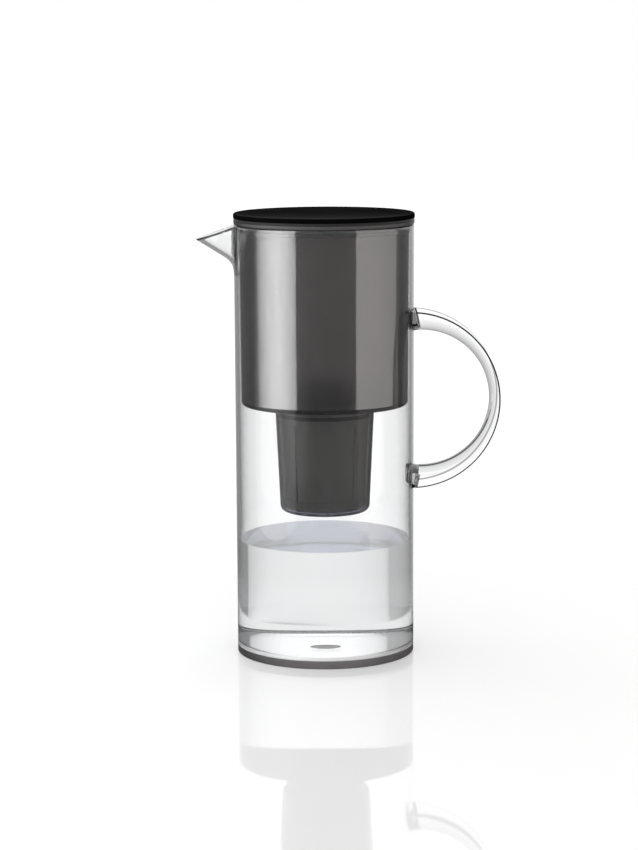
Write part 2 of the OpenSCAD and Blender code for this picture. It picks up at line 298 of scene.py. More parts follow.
def make_jug():
    """The jug as columns of points, each up the outside, over the rim and down the inside."""
    # Angles and heights lie closer together at the pads and the spout
    half = spread((0, 13.5, 0.9), (13.5, 16, 0.18), (16, 25, 0.9), (25, 155, 1.625), (155, 163, 0.8), (163, 180, 0.25))
    degrees = half + [180.0] + [360 - a for a in reversed(half[1:])]
    levels = spread(
        (FOOT_H + 0.3, CORNER_Z, 1.1), (CORNER_Z, 101, 6.0), (101, 120, 0.38), (120, 196, 4.0), (196, 215, 0.38),
        (215, GRID_Z, 2.5),
    ) + [GRID_Z]
    upper = 44
    under = [(GATE_R * t, FLOOR_GAP + GATE_DEPTH * (1 - t * t)) for t in (0.15, 0.3, 0.5, 0.7, 0.85, 1.0)]
    under += [(GATE_R + 0.2, FLOOR_GAP), (20, FLOOR_GAP), (36, FLOOR_GAP)]
    under += arc(SPIGOT_R - 0.3, FLOOR_GAP + 0.3, 0.3, -90, 0, 3)
    under += [(SPIGOT_R, FOOT_H), (jug_out(FOOT_H) - 0.3, FOOT_H)]
    inside = [(bore(z), z) for z in (GRID_Z, 215, 200, 180, 160, 140, 120, 100, 80, WATER_Z, 60, 40, 22, 14)]
    inside += arc(FLOOR_R, FLOOR_TOP + FLOOR_FILLET, FLOOR_FILLET, 0, -90, 10)
    inside += [(36, FLOOR_TOP), (20, FLOOR_TOP), (8, FLOOR_TOP), (2, FLOOR_TOP)]

    def turn(angle, profile):
        return [(r * math.cos(angle), r * math.sin(angle), z) for r, z in profile]

    columns = []
    for degree in degrees:
        angle = math.radians(degree)
        rim_round = RIM_ROUND - TIP_LESS * min(max((8 - abs(degree - 180)) / 5, 0), 1)
        sides = []
        for outside in (True, False):
            top = rim_at(angle, outside) - rim_round
            sides.append([(*wall_at(angle, z, outside), z) for z in np.linspace(GRID_Z, top, upper + 1)[1:]])
        first, last = sides[0][-1], sides[1][-1]
        rim = []
        for i in range(1, 8):
            a = math.pi * i / 8
            t = (1 - math.cos(a)) / 2
            x, y, z = ((1 - t) * f + t * e for f, e in zip(first, last))
            rim.append((x, y, z + rim_round * math.sin(a)))
        column = turn(angle, under)
        if at_pads(angle):
            column += [(*wall_at(angle, z, True), z) for z in levels]
        else:
            column += turn(angle, [(jug_out(z), z) for z in levels])
        columns.append(column + sides[0] + rim + sides[1][::-1] + turn(angle, inside))
    n, m = len(columns), len(columns[0])
    points = [point for column in columns for point in column]
    faces = []
    for j in range(n):
        a, b = j * m, (j + 1) % n * m
        faces += [[a + i, b + i, b + i + 1, a + i + 1] for i in range(m - 1)]
    points += [(0, 0, FLOOR_GAP + GATE_DEPTH), (0, 0, FLOOR_TOP)]
    for j in range(n):
        a, b = j * m, (j + 1) % n * m
        faces += [[n * m, b, a], [n * m + 1, a + m - 1, b + m - 1]]
    return add_mesh("jug_shell", points, faces, "jug", ["jug_body"])


jug = make_jug()


def make_handle():
    """The crescent, as cross-sections turned about the middle of the finger hole, up to its leaning ends."""
    soft = 0.9
    edge = 1.3
    half = HANDLE_W / 2

    def inner(y):
        return FINGER_R + BULGE_R - math.sqrt(BULGE_R ** 2 - y * y)

    def section(angle):
        shift = FINGER_X - HANDLE_X
        top = -shift * math.cos(angle) + math.sqrt(HANDLE_R ** 2 - (shift * math.sin(angle)) ** 2)
        low = inner(half) + soft * 0.9
        side = [(half - edge, top)]
        side += arc(half - edge, top - edge, edge, 75, 0, 5)
        side += [(half, low)]
        side += arc(half - soft, low, soft, -15, -62, 4)
        inside = [(y, inner(y)) for y in np.linspace(half - 1.2, -half + 1.2, 25)]
        return side + inside + [(-y, r) for y, r in reversed(side)]

    def at(k, angle):
        y, r = section(angle)[k]
        return FINGER_X + r * math.cos(angle), y, HANDLE_Z + r * math.sin(angle)

    def end_angle(k):
        low, high = math.radians(80), math.radians(100)
        for _ in range(24):
            mid = (low + high) / 2
            x, _, z = at(k, mid)
            low, high = (mid, high) if x > end_x(z) + BOND_T else (low, mid)
        return low

    steps = 120
    m = len(section(0.0))
    ends = [end_angle(k) for k in range(m)]
    points = [at(k, ends[k] * (2 * i / steps - 1)) for i in range(steps + 1) for k in range(m)]
    faces = []
    for i in range(steps):
        for k in range(m):
            n = (k + 1) % m
            faces.append([i * m + k, i * m + n, (i + 1) * m + n, (i + 1) * m + k])
    faces += [list(reversed(range(m))), list(range(steps * m, steps * m + m))]
    return add_mesh("handle_loop", points, faces, "jug", ["handle"])


handle = make_handle()

FOOT_R = jug_out(FOOT_H)
foot = turned(
    "foot_band",
    arc(SPIGOT_R + 0.5, 0.5, 0.5, 180, 270, 4) + arc(FOOT_R - 0.8, 0.8, 0.8, -90, 0, 6)
    + arc(FOOT_R - 0.25, FOOT_H - 0.25, 0.25, 0, 90, 3) + [(SPIGOT_R, FOOT_H)],
    "jug", ["foot_ring"],
)

BUCKET_CORNER_Z = BUCKET_Z + BUCKET_CORNER
BUCKET_FLOOR = BUCKET_Z + BUCKET_WALL
BUCKET_CORNER_IN = BUCKET_CORNER - BUCKET_WALL / 2
WELL_FOOT_Z = WELL_Z + WELL_CORNER
WELL_SEAT = WELL_Z + WELL_WALL
WELL_CORNER_IN = WELL_CORNER - WELL_WALL / 2
DRAIN_RING = 14.0
DRAIN_R = 2.5


def make_reservoir():
    """Bucket and well: up the outside, over the flange and down the inside."""
    outline = [(0, WELL_Z)]
    outline += arc(well_out(WELL_FOOT_Z) - WELL_CORNER, WELL_FOOT_Z, WELL_CORNER, -90, 0, 10)
    outline += [(well_out(z), z) for z in (100, 115, 130, 145)]
    outline += arc(well_out(BUCKET_Z) + 0.8, BUCKET_Z - 0.8, 0.8, 180, 90, 4)
    outline += [(42, BUCKET_Z)]
    outline += arc(bucket_out(BUCKET_CORNER_Z) - BUCKET_CORNER, BUCKET_CORNER_Z, BUCKET_CORNER, -90, 0, 10)
    outline += [(bucket_out(z), z) for z in (170, 190, 210, 230, 250)]
    groove, groove_top = bucket_out(SEAL_Z) - SEAL_GROOVE, SEAL_Z + SEAL_H
    outline += [(bucket_out(SEAL_Z), SEAL_Z), (groove, SEAL_Z)]
    outline += [(groove, groove_top), (bucket_out(groove_top), groove_top)]
    outline += [(bucket_out(RIM_Z), RIM_Z), (FLANGE_R - FLANGE_BEVEL, RIM_Z)]
    outline += arc(FLANGE_R - FLANGE_BEVEL, RIM_Z + FLANGE_BEVEL, FLANGE_BEVEL, -70, 0, 6)
    outline += [(FLANGE_R, BRIM_Z)]
    outline += arc(FLANGE_R - 0.4, FLANGE_TOP - 0.4, 0.4, 0, 90, 4)
    outline += arc(bucket_in(RIM_Z) + 0.4, FLANGE_TOP - 0.4, 0.4, 90, 180, 4)
    outline += [(bucket_in(z), z) for z in (250, 230, 210, 190, 170)]
    turn = BUCKET_FLOOR + BUCKET_CORNER_IN
    outline += arc(bucket_in(turn) - BUCKET_CORNER_IN, turn, BUCKET_CORNER_IN, 0, -90, 8)
    outline += [(42, BUCKET_FLOOR)]
    outline += arc(well_in(BUCKET_FLOOR) + 0.6, BUCKET_FLOOR - 0.6, 0.6, 90, 180, 4)
    outline += [(well_in(z), z) for z in (145, 130, 115, 100)]
    turn = WELL_SEAT + WELL_CORNER_IN
    outline += arc(well_in(turn) - WELL_CORNER_IN, turn, WELL_CORNER_IN, 0, -90, 8)
    outline += [(0, WELL_SEAT)]
    return turned("reservoir_bucket", outline, "reservoir", ["reservoir"], steps=240)


def drill_drains(obj):
    """Cut the drain holes, one in the middle and six round it, into the floor of the well."""
    drill = bpy.data.meshes.new("drains")
    points, faces = [], []
    n = 24
    for cx, cy in [(0, 0)] + arc(0, 0, DRAIN_RING, 0, 360, 6)[:6]:
        base = len(points)
        ring = arc(cx, cy, DRAIN_R, 0, 360, n)[:n]
        for z in (WELL_Z - 1, WELL_SEAT + 1):
            points += [(x * MM, y * MM, z * MM) for x, y in ring]
        faces += [[base + k, base + (k + 1) % n, base + n + (k + 1) % n, base + n + k] for k in range(n)]
        faces += [[base + k for k in reversed(range(n))], [base + n + k for k in range(n)]]
    drill.from_pydata(points, [], faces)
    tool = bpy.data.objects.new("drains", drill)
    scene.collection.objects.link(tool)
    cut = obj.modifiers.new("drains", "BOOLEAN")
    cut.object = tool
    cut.operation = "DIFFERENCE"
    cut.solver = "EXACT"
    made = bpy.data.meshes.new_from_object(obj.evaluated_get(bpy.context.evaluated_depsgraph_get()))
    obj.modifiers.remove(cut)
    obj.data = made
    made.set_sharp_from_angle(angle=math.radians(SHARP_DEG))
    bpy.data.objects.remove(tool)


reservoir = make_reservoir()
drill_drains(reservoir)


def make_lid():
    """The lid: down and up the skirt with its groove, round the plate and over the dished top."""
    border = LID_R - LID_BORDER
    groove = SKIRT_R - SEAL_GROOVE
    outline = [(0, FLANGE_TOP)]
    outline += arc(SKIRT_R - SKIRT_WALL - 0.8, FLANGE_TOP - 0.8, 0.8, 90, 0, 4)
    outline += arc(SKIRT_R - SKIRT_WALL + 0.5, SKIRT_Z + 0.5, 0.5, 180, 270, 4)
    outline += arc(SKIRT_R - 0.5, SKIRT_Z + 0.5, 0.5, -90, 0, 4)
    groove_top = SKIRT_SEAL_Z + SEAL_H
    outline += [(SKIRT_R, SKIRT_SEAL_Z), (groove, SKIRT_SEAL_Z), (groove, groove_top), (SKIRT_R, groove_top)]
    outline += [(SKIRT_R, FLANGE_TOP)]
    outline += arc(LID_R - 0.6, FLANGE_TOP + 0.6, 0.6, -90, 0, 5)
    outline += arc(LID_R - LID_ROUND, LID_TOP - LID_ROUND, LID_ROUND, 0, 90, 8)
    for i in range(9):
        t = i / 8
        outline.append((border - 3 * LID_DISH * t, LID_TOP - LID_DISH * t * t * (3 - 2 * t)))
    outline += [(40, LID_TOP - LID_DISH), (20, LID_TOP - LID_DISH), (0, LID_TOP - LID_DISH)]
    return turned("lid_disc", outline, "lid", ["lid"], steps=240)


lid = make_lid()


def make_water():
    """The filtered water that the photograph shows."""
    lap = 0.12
    outline = [(0, FLOOR_TOP - lap)]
    outline += arc(FLOOR_R, FLOOR_TOP + FLOOR_FILLET, FLOOR_FILLET + lap, -90, 0, 10)
    outline += [(bore(z) + lap, z) for z in (14, 30, 45, 60)]
    outline += [(bore(WATER_Z) + lap, WATER_Z)]
    outline += [(40, WATER_Z), (20, WATER_Z), (0, WATER_Z)]
    return turned("water_fill", outline, "jug", steps=240)


water = make_water()

# Looks


def rgb(colour):
    """A colour, or the grey of one level, as three numbers."""
    return colour if isinstance(colour, tuple) else (colour, colour, colour)


class Graph:
    """The nodes of a look or of the world, with a method for each kind of node that is in use.
    What a method takes as a value is a number, a colour or the output of another node."""

    def __init__(self, tree):
        self.nodes, self.links = tree.nodes, tree.links
        self.bsdf = tree.nodes.get("Principled BSDF")

    def put(self, socket, value):
        if isinstance(value, bpy.types.NodeSocket):
            self.links.new(value, socket)
        else:
            socket.default_value = value

    def add(self, kind, inputs=(), **settings):
        """A new node of a kind, with its settings, and its inputs by name or number."""
        node = self.nodes.new(kind)
        for name, value in settings.items():
            setattr(node, name, value)
        for key, value in dict(inputs).items():
            self.put(node.inputs[key], value)
        return node

    def finish(self, values):
        """Set inputs of the main shader."""
        for name, value in values.items():
            self.put(self.bsdf.inputs[name], value)

    def place(self):
        """Where a point is in the piece's own frame."""
        return self.add("ShaderNodeTexCoord").outputs["Object"]

    def split(self, vector):
        return self.add("ShaderNodeSeparateXYZ", {"Vector": vector}).outputs

    def noise(self, scale, detail=3.0, rough=0.5):
        inputs = {"Vector": self.place(), "Scale": scale, "Detail": detail, "Roughness": rough}
        return self.add("ShaderNodeTexNoise", inputs).outputs["Fac"]

    def ramp(self, factor, stops, interpolation="LINEAR"):
        """A colour, or a level, by a factor."""
        node = self.add("ShaderNodeValToRGB", {"Fac": factor})
        node.color_ramp.interpolation = interpolation
        while len(node.color_ramp.elements) < len(stops):
            node.color_ramp.elements.new(0.5)
        for element, (at, colour) in zip(node.color_ramp.elements, stops):
            element.position = at
            element.color = (*rgb(colour), 1.0)
        return node.outputs["Color"]

    def span(self, value, start, end, low=0.0, high=1.0):
        """From low to high while a value goes from start to end."""
        inputs = {"Value": value, "From Min": start, "From Max": end, "To Min": low, "To Max": high}
        return self.add("ShaderNodeMapRange", inputs).outputs["Result"]

    def across(self, axis, half):
        """How far a point lies from one side of a round piece to the other, 0 to 1."""
        return self.span(self.split(self.place())[axis], -half * MM, half * MM)

    def maths(self, operation, *values, clamp=False):
        return self.add("ShaderNodeMath", enumerate(values), operation=operation, use_clamp=clamp).outputs[0]

    def vector(self, operation, *values):
        node = self.add("ShaderNodeVectorMath", enumerate(values), operation=operation)
        return node.outputs["Value" if operation in ("LENGTH", "DISTANCE") else "Vector"]

    def blend(self, kind, first, second):
        """Two colours, multiplied or added."""
        node = self.add("ShaderNodeMix", {0: 1.0, 6: first, 7: second}, data_type="RGBA", blend_type=kind)
        return node.outputs[2]

    def edge_on(self, colour, stops):
        """A colour that changes by stops from faces seen straight on to faces seen edge on."""
        facing = self.add("ShaderNodeLayerWeight", {"Blend": 0.5}).outputs["Facing"]
        return self.blend("MULTIPLY", colour, self.ramp(facing, stops))

    def bump(self, height, strength, distance):
        inputs = {"Strength": strength, "Distance": distance, "Height": height}
        self.finish({"Normal": self.add("ShaderNodeBump", inputs).outputs["Normal"]})

    def base(self):
        """The base colour that has been set so far."""
        return self.bsdf.inputs["Base Color"].links[0].from_socket

    def path(self, output):
        return self.add("ShaderNodeLightPath").outputs[output]

    def reflected(self):
        """1 where a ray has been reflected, else 0."""
        return self.maths("MINIMUM", self.path("Glossy Depth"), 1.0)

    def refracted(self):
        """1 where a ray has only passed through clear faces, else 0."""
        once = self.maths("MINIMUM", self.path("Transmission Depth"), 1.0)
        return self.maths("SUBTRACT", once, self.path("Glossy Depth"), clamp=True)

    def by_crossings(self, levels):
        """A level by how many clear faces a ray has crossed, as (first count, level): 0 after a reflection on an
        outermost face, 2 inside a clear wall, 4 behind one, and more in the water."""
        most = 10
        share = self.maths("DIVIDE", self.path("Transmission Depth"), most)
        return self.ramp(share, [(max(count - 0.5, 0) / most, level) for count, level in levels], "CONSTANT")

    def by_angle(self, levels, turn):
        """A level by direction, as (angle, level): angles from straight behind the object, positive to the right."""
        return self.ramp(self.span(turn, -math.pi, math.pi), [(0.5 + angle / 360, level) for angle, level in levels])

    def glow(self, strength, colour=1.0):
        inputs = {"Color": (*rgb(colour), 1.0), "Strength": strength}
        return self.add("ShaderNodeEmission", inputs).outputs[0]

    def mix(self, factor, first, second):
        """Two shaders, the second by a factor."""
        return self.add("ShaderNodeMixShader", {"Fac": factor, 1: first, 2: second}).outputs[0]

    def out(self, shader):
        self.add("ShaderNodeOutputMaterial", {"Surface": shader})


def material(name):
    mat = bpy.data.materials.new(name)
    mat.use_nodes = True
    return mat, Graph(mat.node_tree)


def dress(obj, looks, choose):
    """Give a piece its looks, and each of its faces the one that choose names."""
    for look in looks.values():
        obj.data.materials.append(look)
    order = list(looks)
    for face in obj.data.polygons:
        face.material_index = order.index(choose(face))


PLASTIC_IOR = 1.49
WATER_IOR = 1.333


def clear_plastic(name, tone, ior=PLASTIC_IOR, edges=((0.6, 1.0), (1.0, 1.0)), through=1.0):
    """Clear moulded plastic, with the faint unevenness of a moulding, greyer where it is seen edge on."""
    mat, graph = material(name)
    cloud = graph.noise(60.0)
    body = graph.ramp(cloud, [(0.3, (0.985 * tone, 0.99 * tone, 0.995 * tone)), (0.7, tone)])
    graph.finish({
        "Base Color": graph.edge_on(body, edges),
        "Transmission Weight": through,
        "IOR": ior,
        "Specular IOR Level": 0.0,
        "Roughness": graph.span(cloud, 0, 1, 0.0, 0.02),
    })
    graph.bump(graph.noise(26.0, 1.0), 0.03, 0.0004)
    return mat


def smoke_plastic(name, dark, light, rough, level, coat, through=1.0, ior=1.5):
    """Smoke-tinted plastic: the bucket has a bright skin, its thick edges let no light through."""
    mat, graph = material(name)
    grain = graph.noise(700.0, 4.0, 0.6)
    body = graph.ramp(grain, [(0.3, dark), (0.7, light)])
    graph.finish({
        "Base Color": graph.edge_on(body, [(0.5, 1.0), (0.9, 0.2)]),
        "Transmission Weight": through,
        "IOR": ior,
        "Specular IOR Level": level,
        "Coat Weight": coat,
        "Coat IOR": 2.0,
        "Coat Roughness": 0.04,
        "Roughness": graph.span(grain, 0, 1, rough, rough + 0.06),
    })
    graph.bump(grain, 0.02, 0.0002)
    return mat


def moulded(name, dark, light, rough, level, grain_scale, grain_strength):
    """Opaque moulded plastic or rubber: two close tones, uneven gloss and a fine grain."""
    mat, graph = material(name)
    grain = graph.noise(grain_scale, 3.0, 0.6)
    graph.finish({
        "Base Color": graph.ramp(graph.noise(35.0, 4.0, 0.6), [(0.3, dark), (0.7, light)]),
        "Roughness": graph.span(grain, 0, 1, *rough),
        "Specular IOR Level": level,
    })
    graph.bump(grain, grain_strength, 0.0002)
    return mat


def reservoir_look(face):
    """Bucket, well, the brim under the lid, the band above it, painted dark as the lid's shadow, and the dark edge at
    the bucket's bottom.
    """
    z = face.center.z / MM
    if z > BRIM_Z or BUCKET_Z - 0.5 < z < BUCKET_CORNER_Z and face.normal.z < 0.1:
        return "edge"
    if z > RIM_Z - 0.01:
        return "brim"
    return "well" if z < BUCKET_Z else "bucket"


# The band above the brim is painted shadow of the lid; the bucket's bottom corner is opaque and dark.
dress(reservoir, {
    "bucket": smoke_plastic("smoke_bucket", (0.27, 0.252, 0.252), (0.298, 0.278, 0.278), 0.27, 0.2, 1.0),
    "well": smoke_plastic("smoke_well", (0.45, 0.44, 0.438), (0.5, 0.49, 0.488), 0.1, 0.0, 0.0, ior=1.22),
    "brim": smoke_plastic("smoke_brim", (0.058, 0.056, 0.056), (0.068, 0.066, 0.066), 0.3, 0.2, 0.0, 0.0),
    "edge": smoke_plastic("smoke_lid_shadow_and_dark_corner", (0.017, 0.016, 0.016), (0.024, 0.023, 0.023), 0.3, 0.1, 0.0, 0.0),
}, reservoir_look)

LIP_EDGE = 1.1
ROOT_X = (-56.0, -52.5)
ROOT_Y = 8.0


def jug_look(face):
    """Clear wall, the faces against the water, and painted shade: the pads, darker above than below, the strip of
    wall just above the foot on the near side, the dimple under the floor, the lip's edge and the spout's root."""
    x, y, z = face.center / MM
    r = math.hypot(x, y)
    if r <= bore(z) + 0.05 and FLOOR_TOP - 0.01 <= z < WATER_Z:
        return "wet"
    if x > 0 and abs(z - HANDLE_Z) > FINGER_R - 5 and r > jug_out(z) + 0.2 and z < RIM_Z - 20:
        return "pad" if z > HANDLE_Z else "pad_low"
    if y < 0 and r > jug_out(z) - 0.5 and z < CORNER_Z:
        return "corner"
    if r < GATE_R + 0.1 and z < FLOOR_TOP:
        return "gate"
    if x < -JUG_R - 0.3 and z > lip(x) - LIP_EDGE:
        return "lip" if y < 0 else "lip_far"
    if ROOT_X[0] < x < ROOT_X[1] and abs(y) > ROOT_Y and z > BEND_Z:
        return "root"
    return "wall"


# Painted shade: the pads, dimple, lip edge, spout root and near foot strip are darker tones of the clear plastic
dress(jug, {
    "wall": clear_plastic("clear_wall", 0.99),
    "wet": clear_plastic("clear_wet", 0.99, PLASTIC_IOR / WATER_IOR),
    "pad": clear_plastic("clear_pad", 0.2),
    "gate": clear_plastic("clear_gate", 0.3, through=0.2),
    "lip": clear_plastic("clear_lip", 0.12),
    "lip_far": clear_plastic("clear_lip_far", 0.75),
    "pad_low": clear_plastic("clear_pad_low", 0.5),
    "root": clear_plastic("clear_root", 0.35),
    "corner": clear_plastic("clear_corner", 1.0, edges=((0.1, 1.0), (0.4, 0.55), (0.8, 0.3)), through=0.35),
}, jug_look)


def handle_plastic():
    """The handle's flat sides, with painted shade: the swelling inner face shows in them as a soft grey that fades
    outwards. The bond shows as a dark line."""
    fade_width, line_width = 4.0, 1.4
    mat = clear_plastic("clear_handle", 0.99, HANDLE_IOR)
    graph = Graph(mat.node_tree)
    apart = graph.vector("SUBTRACT", graph.place(), (FINGER_X * MM, 0, HANDLE_Z * MM))
    reach = graph.vector("LENGTH", graph.vector("MULTIPLY", apart, (1, 0, 1)))
    start = FINGER_R + HANDLE_BULGE
    # painted shade: grey next to the swelling inner face, fading outwards
    fade = graph.ramp(
        graph.span(reach, start * MM, (start + fade_width) * MM), [(0.0, 0.66), (0.5, 0.9), (1.0, 1.0)]
    )
    split = graph.split(apart)
    lean = graph.maths("MULTIPLY_ADD", graph.maths("ABSOLUTE", split["Z"]), math.tan(HANDLE_LEAN), split["X"])
    start = end_x(HANDLE_Z) + BOND_T - FINGER_X
    line = graph.ramp(
        graph.span(lean, start * MM, (start + line_width) * MM), [(0.0, 0.03), (0.7, 0.05), (1.0, 1.0)]
    )
    graph.finish({"Base Color": graph.blend("MULTIPLY", graph.blend("MULTIPLY", graph.base(), fade), line)})
    return mat


# Painted shade on the inner face: darker the more it is seen edge on
SWELL_PAINTED_SHADE = ((0.4, 0.7), (0.6, 0.6), (0.75, 0.48), (0.9, 0.34), (0.97, 0.2), (1.0, 0.05))
# The look of the far lower inner edge, by how far it lies below the handle's middle: painted shade that darkens
# downwards
LOW_EDGE_PAINTED_SHADE = ((5, "inner"), (10, "fade"), (15, "far"), (2 * HANDLE_R, "low"))


def handle_look(face):
    """Flat sides, the inner face that curves away, and the rounded edges, outer and inner, near and far; the inner
    face and the edges get painted shade.
    """
    x, y, z = face.center / MM
    outer = face.normal.x * (x - FINGER_X) + face.normal.z * (z - HANDLE_Z) > 0
    if abs(y) > HANDLE_W / 2 - 1.4 and 0.15 < abs(face.normal.y) < 0.97:
        if outer:
            return "near" if y < 0 else "far"
        if z < HANDLE_Z:
            return "inner" if y < 0 else next(look for drop, look in LOW_EDGE_PAINTED_SHADE if HANDLE_Z - z < drop)
    elif not outer and abs(face.normal.y) < 0.5:
        return "swell"
    return "side"


# The edges are darker tones of the clear plastic: painted shade, the near outer edge almost black
dress(handle, {
    "side": handle_plastic(),
    "swell": clear_plastic("handle_swell_painted_shade", 0.99, HANDLE_IOR, SWELL_PAINTED_SHADE),
    "near": clear_plastic("handle_near_edge_painted_shade", 0.002, HANDLE_IOR),
    "far": clear_plastic("handle_far_edge_painted_shade", 0.2, HANDLE_IOR),
    "inner": clear_plastic("handle_inner_edge_painted_shade", 0.85, HANDLE_IOR),
    "low": clear_plastic("handle_low_edge_painted_shade", 0.02, HANDLE_IOR),
    "fade": clear_plastic("handle_fading_edge_painted_shade", 0.5, HANDLE_IOR),
}, handle_look)


def lid_plastic():
    """The lid's top, with painted light: a little lighter towards the camera's side, where the light comes over it."""
    mat = moulded("lid_black", 0.006, 0.01, (0.45, 0.6), 0.0, 900.0, 0.2)
    graph = Graph(mat.node_tree)
    # painted light: the top's black is lifted towards the camera's side
    lighter = graph.ramp(graph.across("Y", LID_R), [(0.0, 0.017), (0.4, 0.004), (0.6, 0.0)])
    graph.finish({"Base Color": graph.blend("ADD", graph.base(), lighter)})
    return mat


# The side faces take a darker copy of the top's black: painted shade.
dress(lid, {
    "top": lid_plastic(),
    "side": moulded("lid_side_painted_shade", 0.0015, 0.0025, (0.5, 0.65), 0.0, 900.0, 0.2),
}, lambda face: "top" if face.normal.z > 0.7 else "side")


def foot_plastic():
    """The smoky ring under the jug, with painted shade: darker towards its left and right sides."""
    mat, graph = material("foot_smoke")
    tone = graph.noise(50.0)
    plain = graph.ramp(tone, [(0.3, (0.126, 0.121, 0.122)), (0.7, (0.15, 0.145, 0.146))])
    # painted shade: the ring darkens towards its left and right, the left more
    painted_side_shade = graph.ramp(graph.across("X", JUG_R), [(0.1, 0.45), (0.45, 0.95), (0.6, 1.0), (0.9, 0.68)])
    graph.finish({
        "Base Color": graph.blend("MULTIPLY", plain, painted_side_shade),
        "Roughness": graph.span(tone, 0, 1, 0.18, 0.3),
        "Specular IOR Level": 0.4,
    })
    graph.bump(graph.noise(500.0), 0.05, 0.0002)
    return mat


def foot_look(face):
    """The ring's outside, and the pale faces that touch the jug."""
    inside = math.hypot(face.center.x, face.center.y) / MM < SPIGOT_R + 0.1
    return "inner" if inside or face.normal.z > 0.9 else "band"


dress(foot, {
    "band": foot_plastic(),
    "inner": moulded("foot_inner", 0.9, 0.95, (0.4, 0.55), 0.2, 500.0, 0.1),
}, foot_look)


# Painted reflection: the water's top has a matt bluish tone under its clear part
def water_surface():
    mat, graph = material("water_surface")
    ripple = graph.noise(14.0, 1.0)
    graph.finish({
        "Base Color": graph.ramp(ripple, [(0.3, (0.13, 0.165, 0.27)), (0.7, (0.15, 0.185, 0.3))]),
        "Transmission Weight": 0.75,
        "Coat Weight": 0.5,
        "Coat IOR": 1.6,
        "Coat Roughness": 0.05,
        "IOR": WATER_IOR,
        "Roughness": 0.05,
    })
    graph.bump(ripple, 0.04, 0.001)
    return mat


def water_side(name, alpha):
    """Where the water meets the jug: the wall's own wet face bends the light, so this only tints it."""
    mat, graph = material(name)
    graph.finish({
        "Base Color": graph.ramp(graph.noise(9.0, 1.0), [(0.3, (0.26, 0.28, 0.31)), (0.7, (0.34, 0.36, 0.38))]),
        "Alpha": alpha,
        "Specular IOR Level": 0.0,
    })
    return mat


dress(water, {
    "top": water_surface(),
    "side": water_side("water_side", 0.08),
    "low": water_side("water_low", 0.01),
}, lambda face: "top" if face.normal.z > 0.5 else "side" if face.normal.z > -0.5 else "low")


def bond_material():
    """The cured bond between pad and handle, almost clear."""
    mat, graph = material("bond_layer")
    graph.finish({
        "Base Color": graph.ramp(graph.noise(300.0), [(0.3, (0.9, 0.89, 0.89)), (0.7, (0.95, 0.94, 0.94))]),
        "Transmission Weight": 0.8,
        "IOR": PLASTIC_IOR,
        "Roughness": 0.15,
    })
    return mat


def granules(name, size, dark, light, gap):
    """Loose filling: rounded grains with dark gaps between them."""
    mat, graph = material(name)
    cells = graph.add("ShaderNodeTexVoronoi", {"Vector": graph.place(), "Scale": 1 / size}).outputs["Distance"]
    graph.finish({
        "Base Color": graph.ramp(cells, [(0.0, light), (0.55, dark), (0.85, gap)]),
        "Roughness": graph.span(graph.noise(400.0), 0, 1, 0.35, 0.6),
    })
    graph.bump(graph.add("ShaderNodeInvert", {"Color": cells}).outputs["Color"], 0.8, size / 2)
    return mat


def woven(name, pitch, thread, gap):
    """A fine square-mesh screen."""
    mat, graph = material(name)
    grid = graph.add("ShaderNodeTexBrick", {
        "Vector": graph.place(),
        "Scale": 1 / pitch,
        "Mortar Size": 0.22,
        "Brick Width": 1.0,
        "Row Height": 1.0,
        "Color1": (*gap, 1),
        "Color2": (*gap, 1),
        "Mortar": (*thread, 1),
    }, offset=0.0)
    graph.finish({
        "Base Color": grid.outputs["Color"],
        "Roughness": graph.span(graph.noise(300.0), 0, 1, 0.5, 0.7),
    })
    graph.bump(grid.outputs["Fac"], 0.5, 0.0003)
    return mat


def fleece():
    mat, graph = material("fleece_felt")
    fibre = graph.noise(1500.0, 6.0, 0.7)
    graph.finish({
        "Base Color": graph.ramp(fibre, [(0.3, (0.62, 0.63, 0.63)), (0.7, (0.86, 0.87, 0.87))]),
        "Roughness": graph.span(fibre, 0, 1, 0.8, 1.0),
    })
    graph.bump(fibre, 0.7, 0.0004)
    return mat


screen = woven("screen_mesh", 0.0011, (0.82, 0.83, 0.83), (0.25, 0.25, 0.26))
rubber = moulded("seal_rubber", (0.2, 0.2, 0.205), (0.27, 0.27, 0.275), (0.5, 0.7), 0.3, 600.0, 0.2)
capsule = moulded("capsule_plastic", (0.6, 0.61, 0.6), (0.68, 0.69, 0.68), (0.3, 0.45), 0.4, 700.0, 0.1)
NODE_LOOKS = {
    "handle_bond": bond_material(),
    "reservoir_seal": smoke_plastic("smoke_seal", (0.09, 0.087, 0.087), (0.1, 0.097, 0.097), 0.3, 0.2, 1.0, 0.0),
    "lid_seal": rubber,
    "cartridge_seal": rubber,
    "cartridge_shell": capsule,
    "cartridge_cap": capsule,
    "top_screen": screen,
    "bottom_screen": screen,
    "carbon_bed": granules("carbon_grains", 0.0012, (0.015, 0.015, 0.016), (0.05, 0.05, 0.052), 0.004),
    "divider_fleece": fleece(),
    "resin_bed": granules("resin_beads", 0.0008, (0.5, 0.36, 0.16), (0.72, 0.56, 0.32), (0.2, 0.13, 0.05)),
}


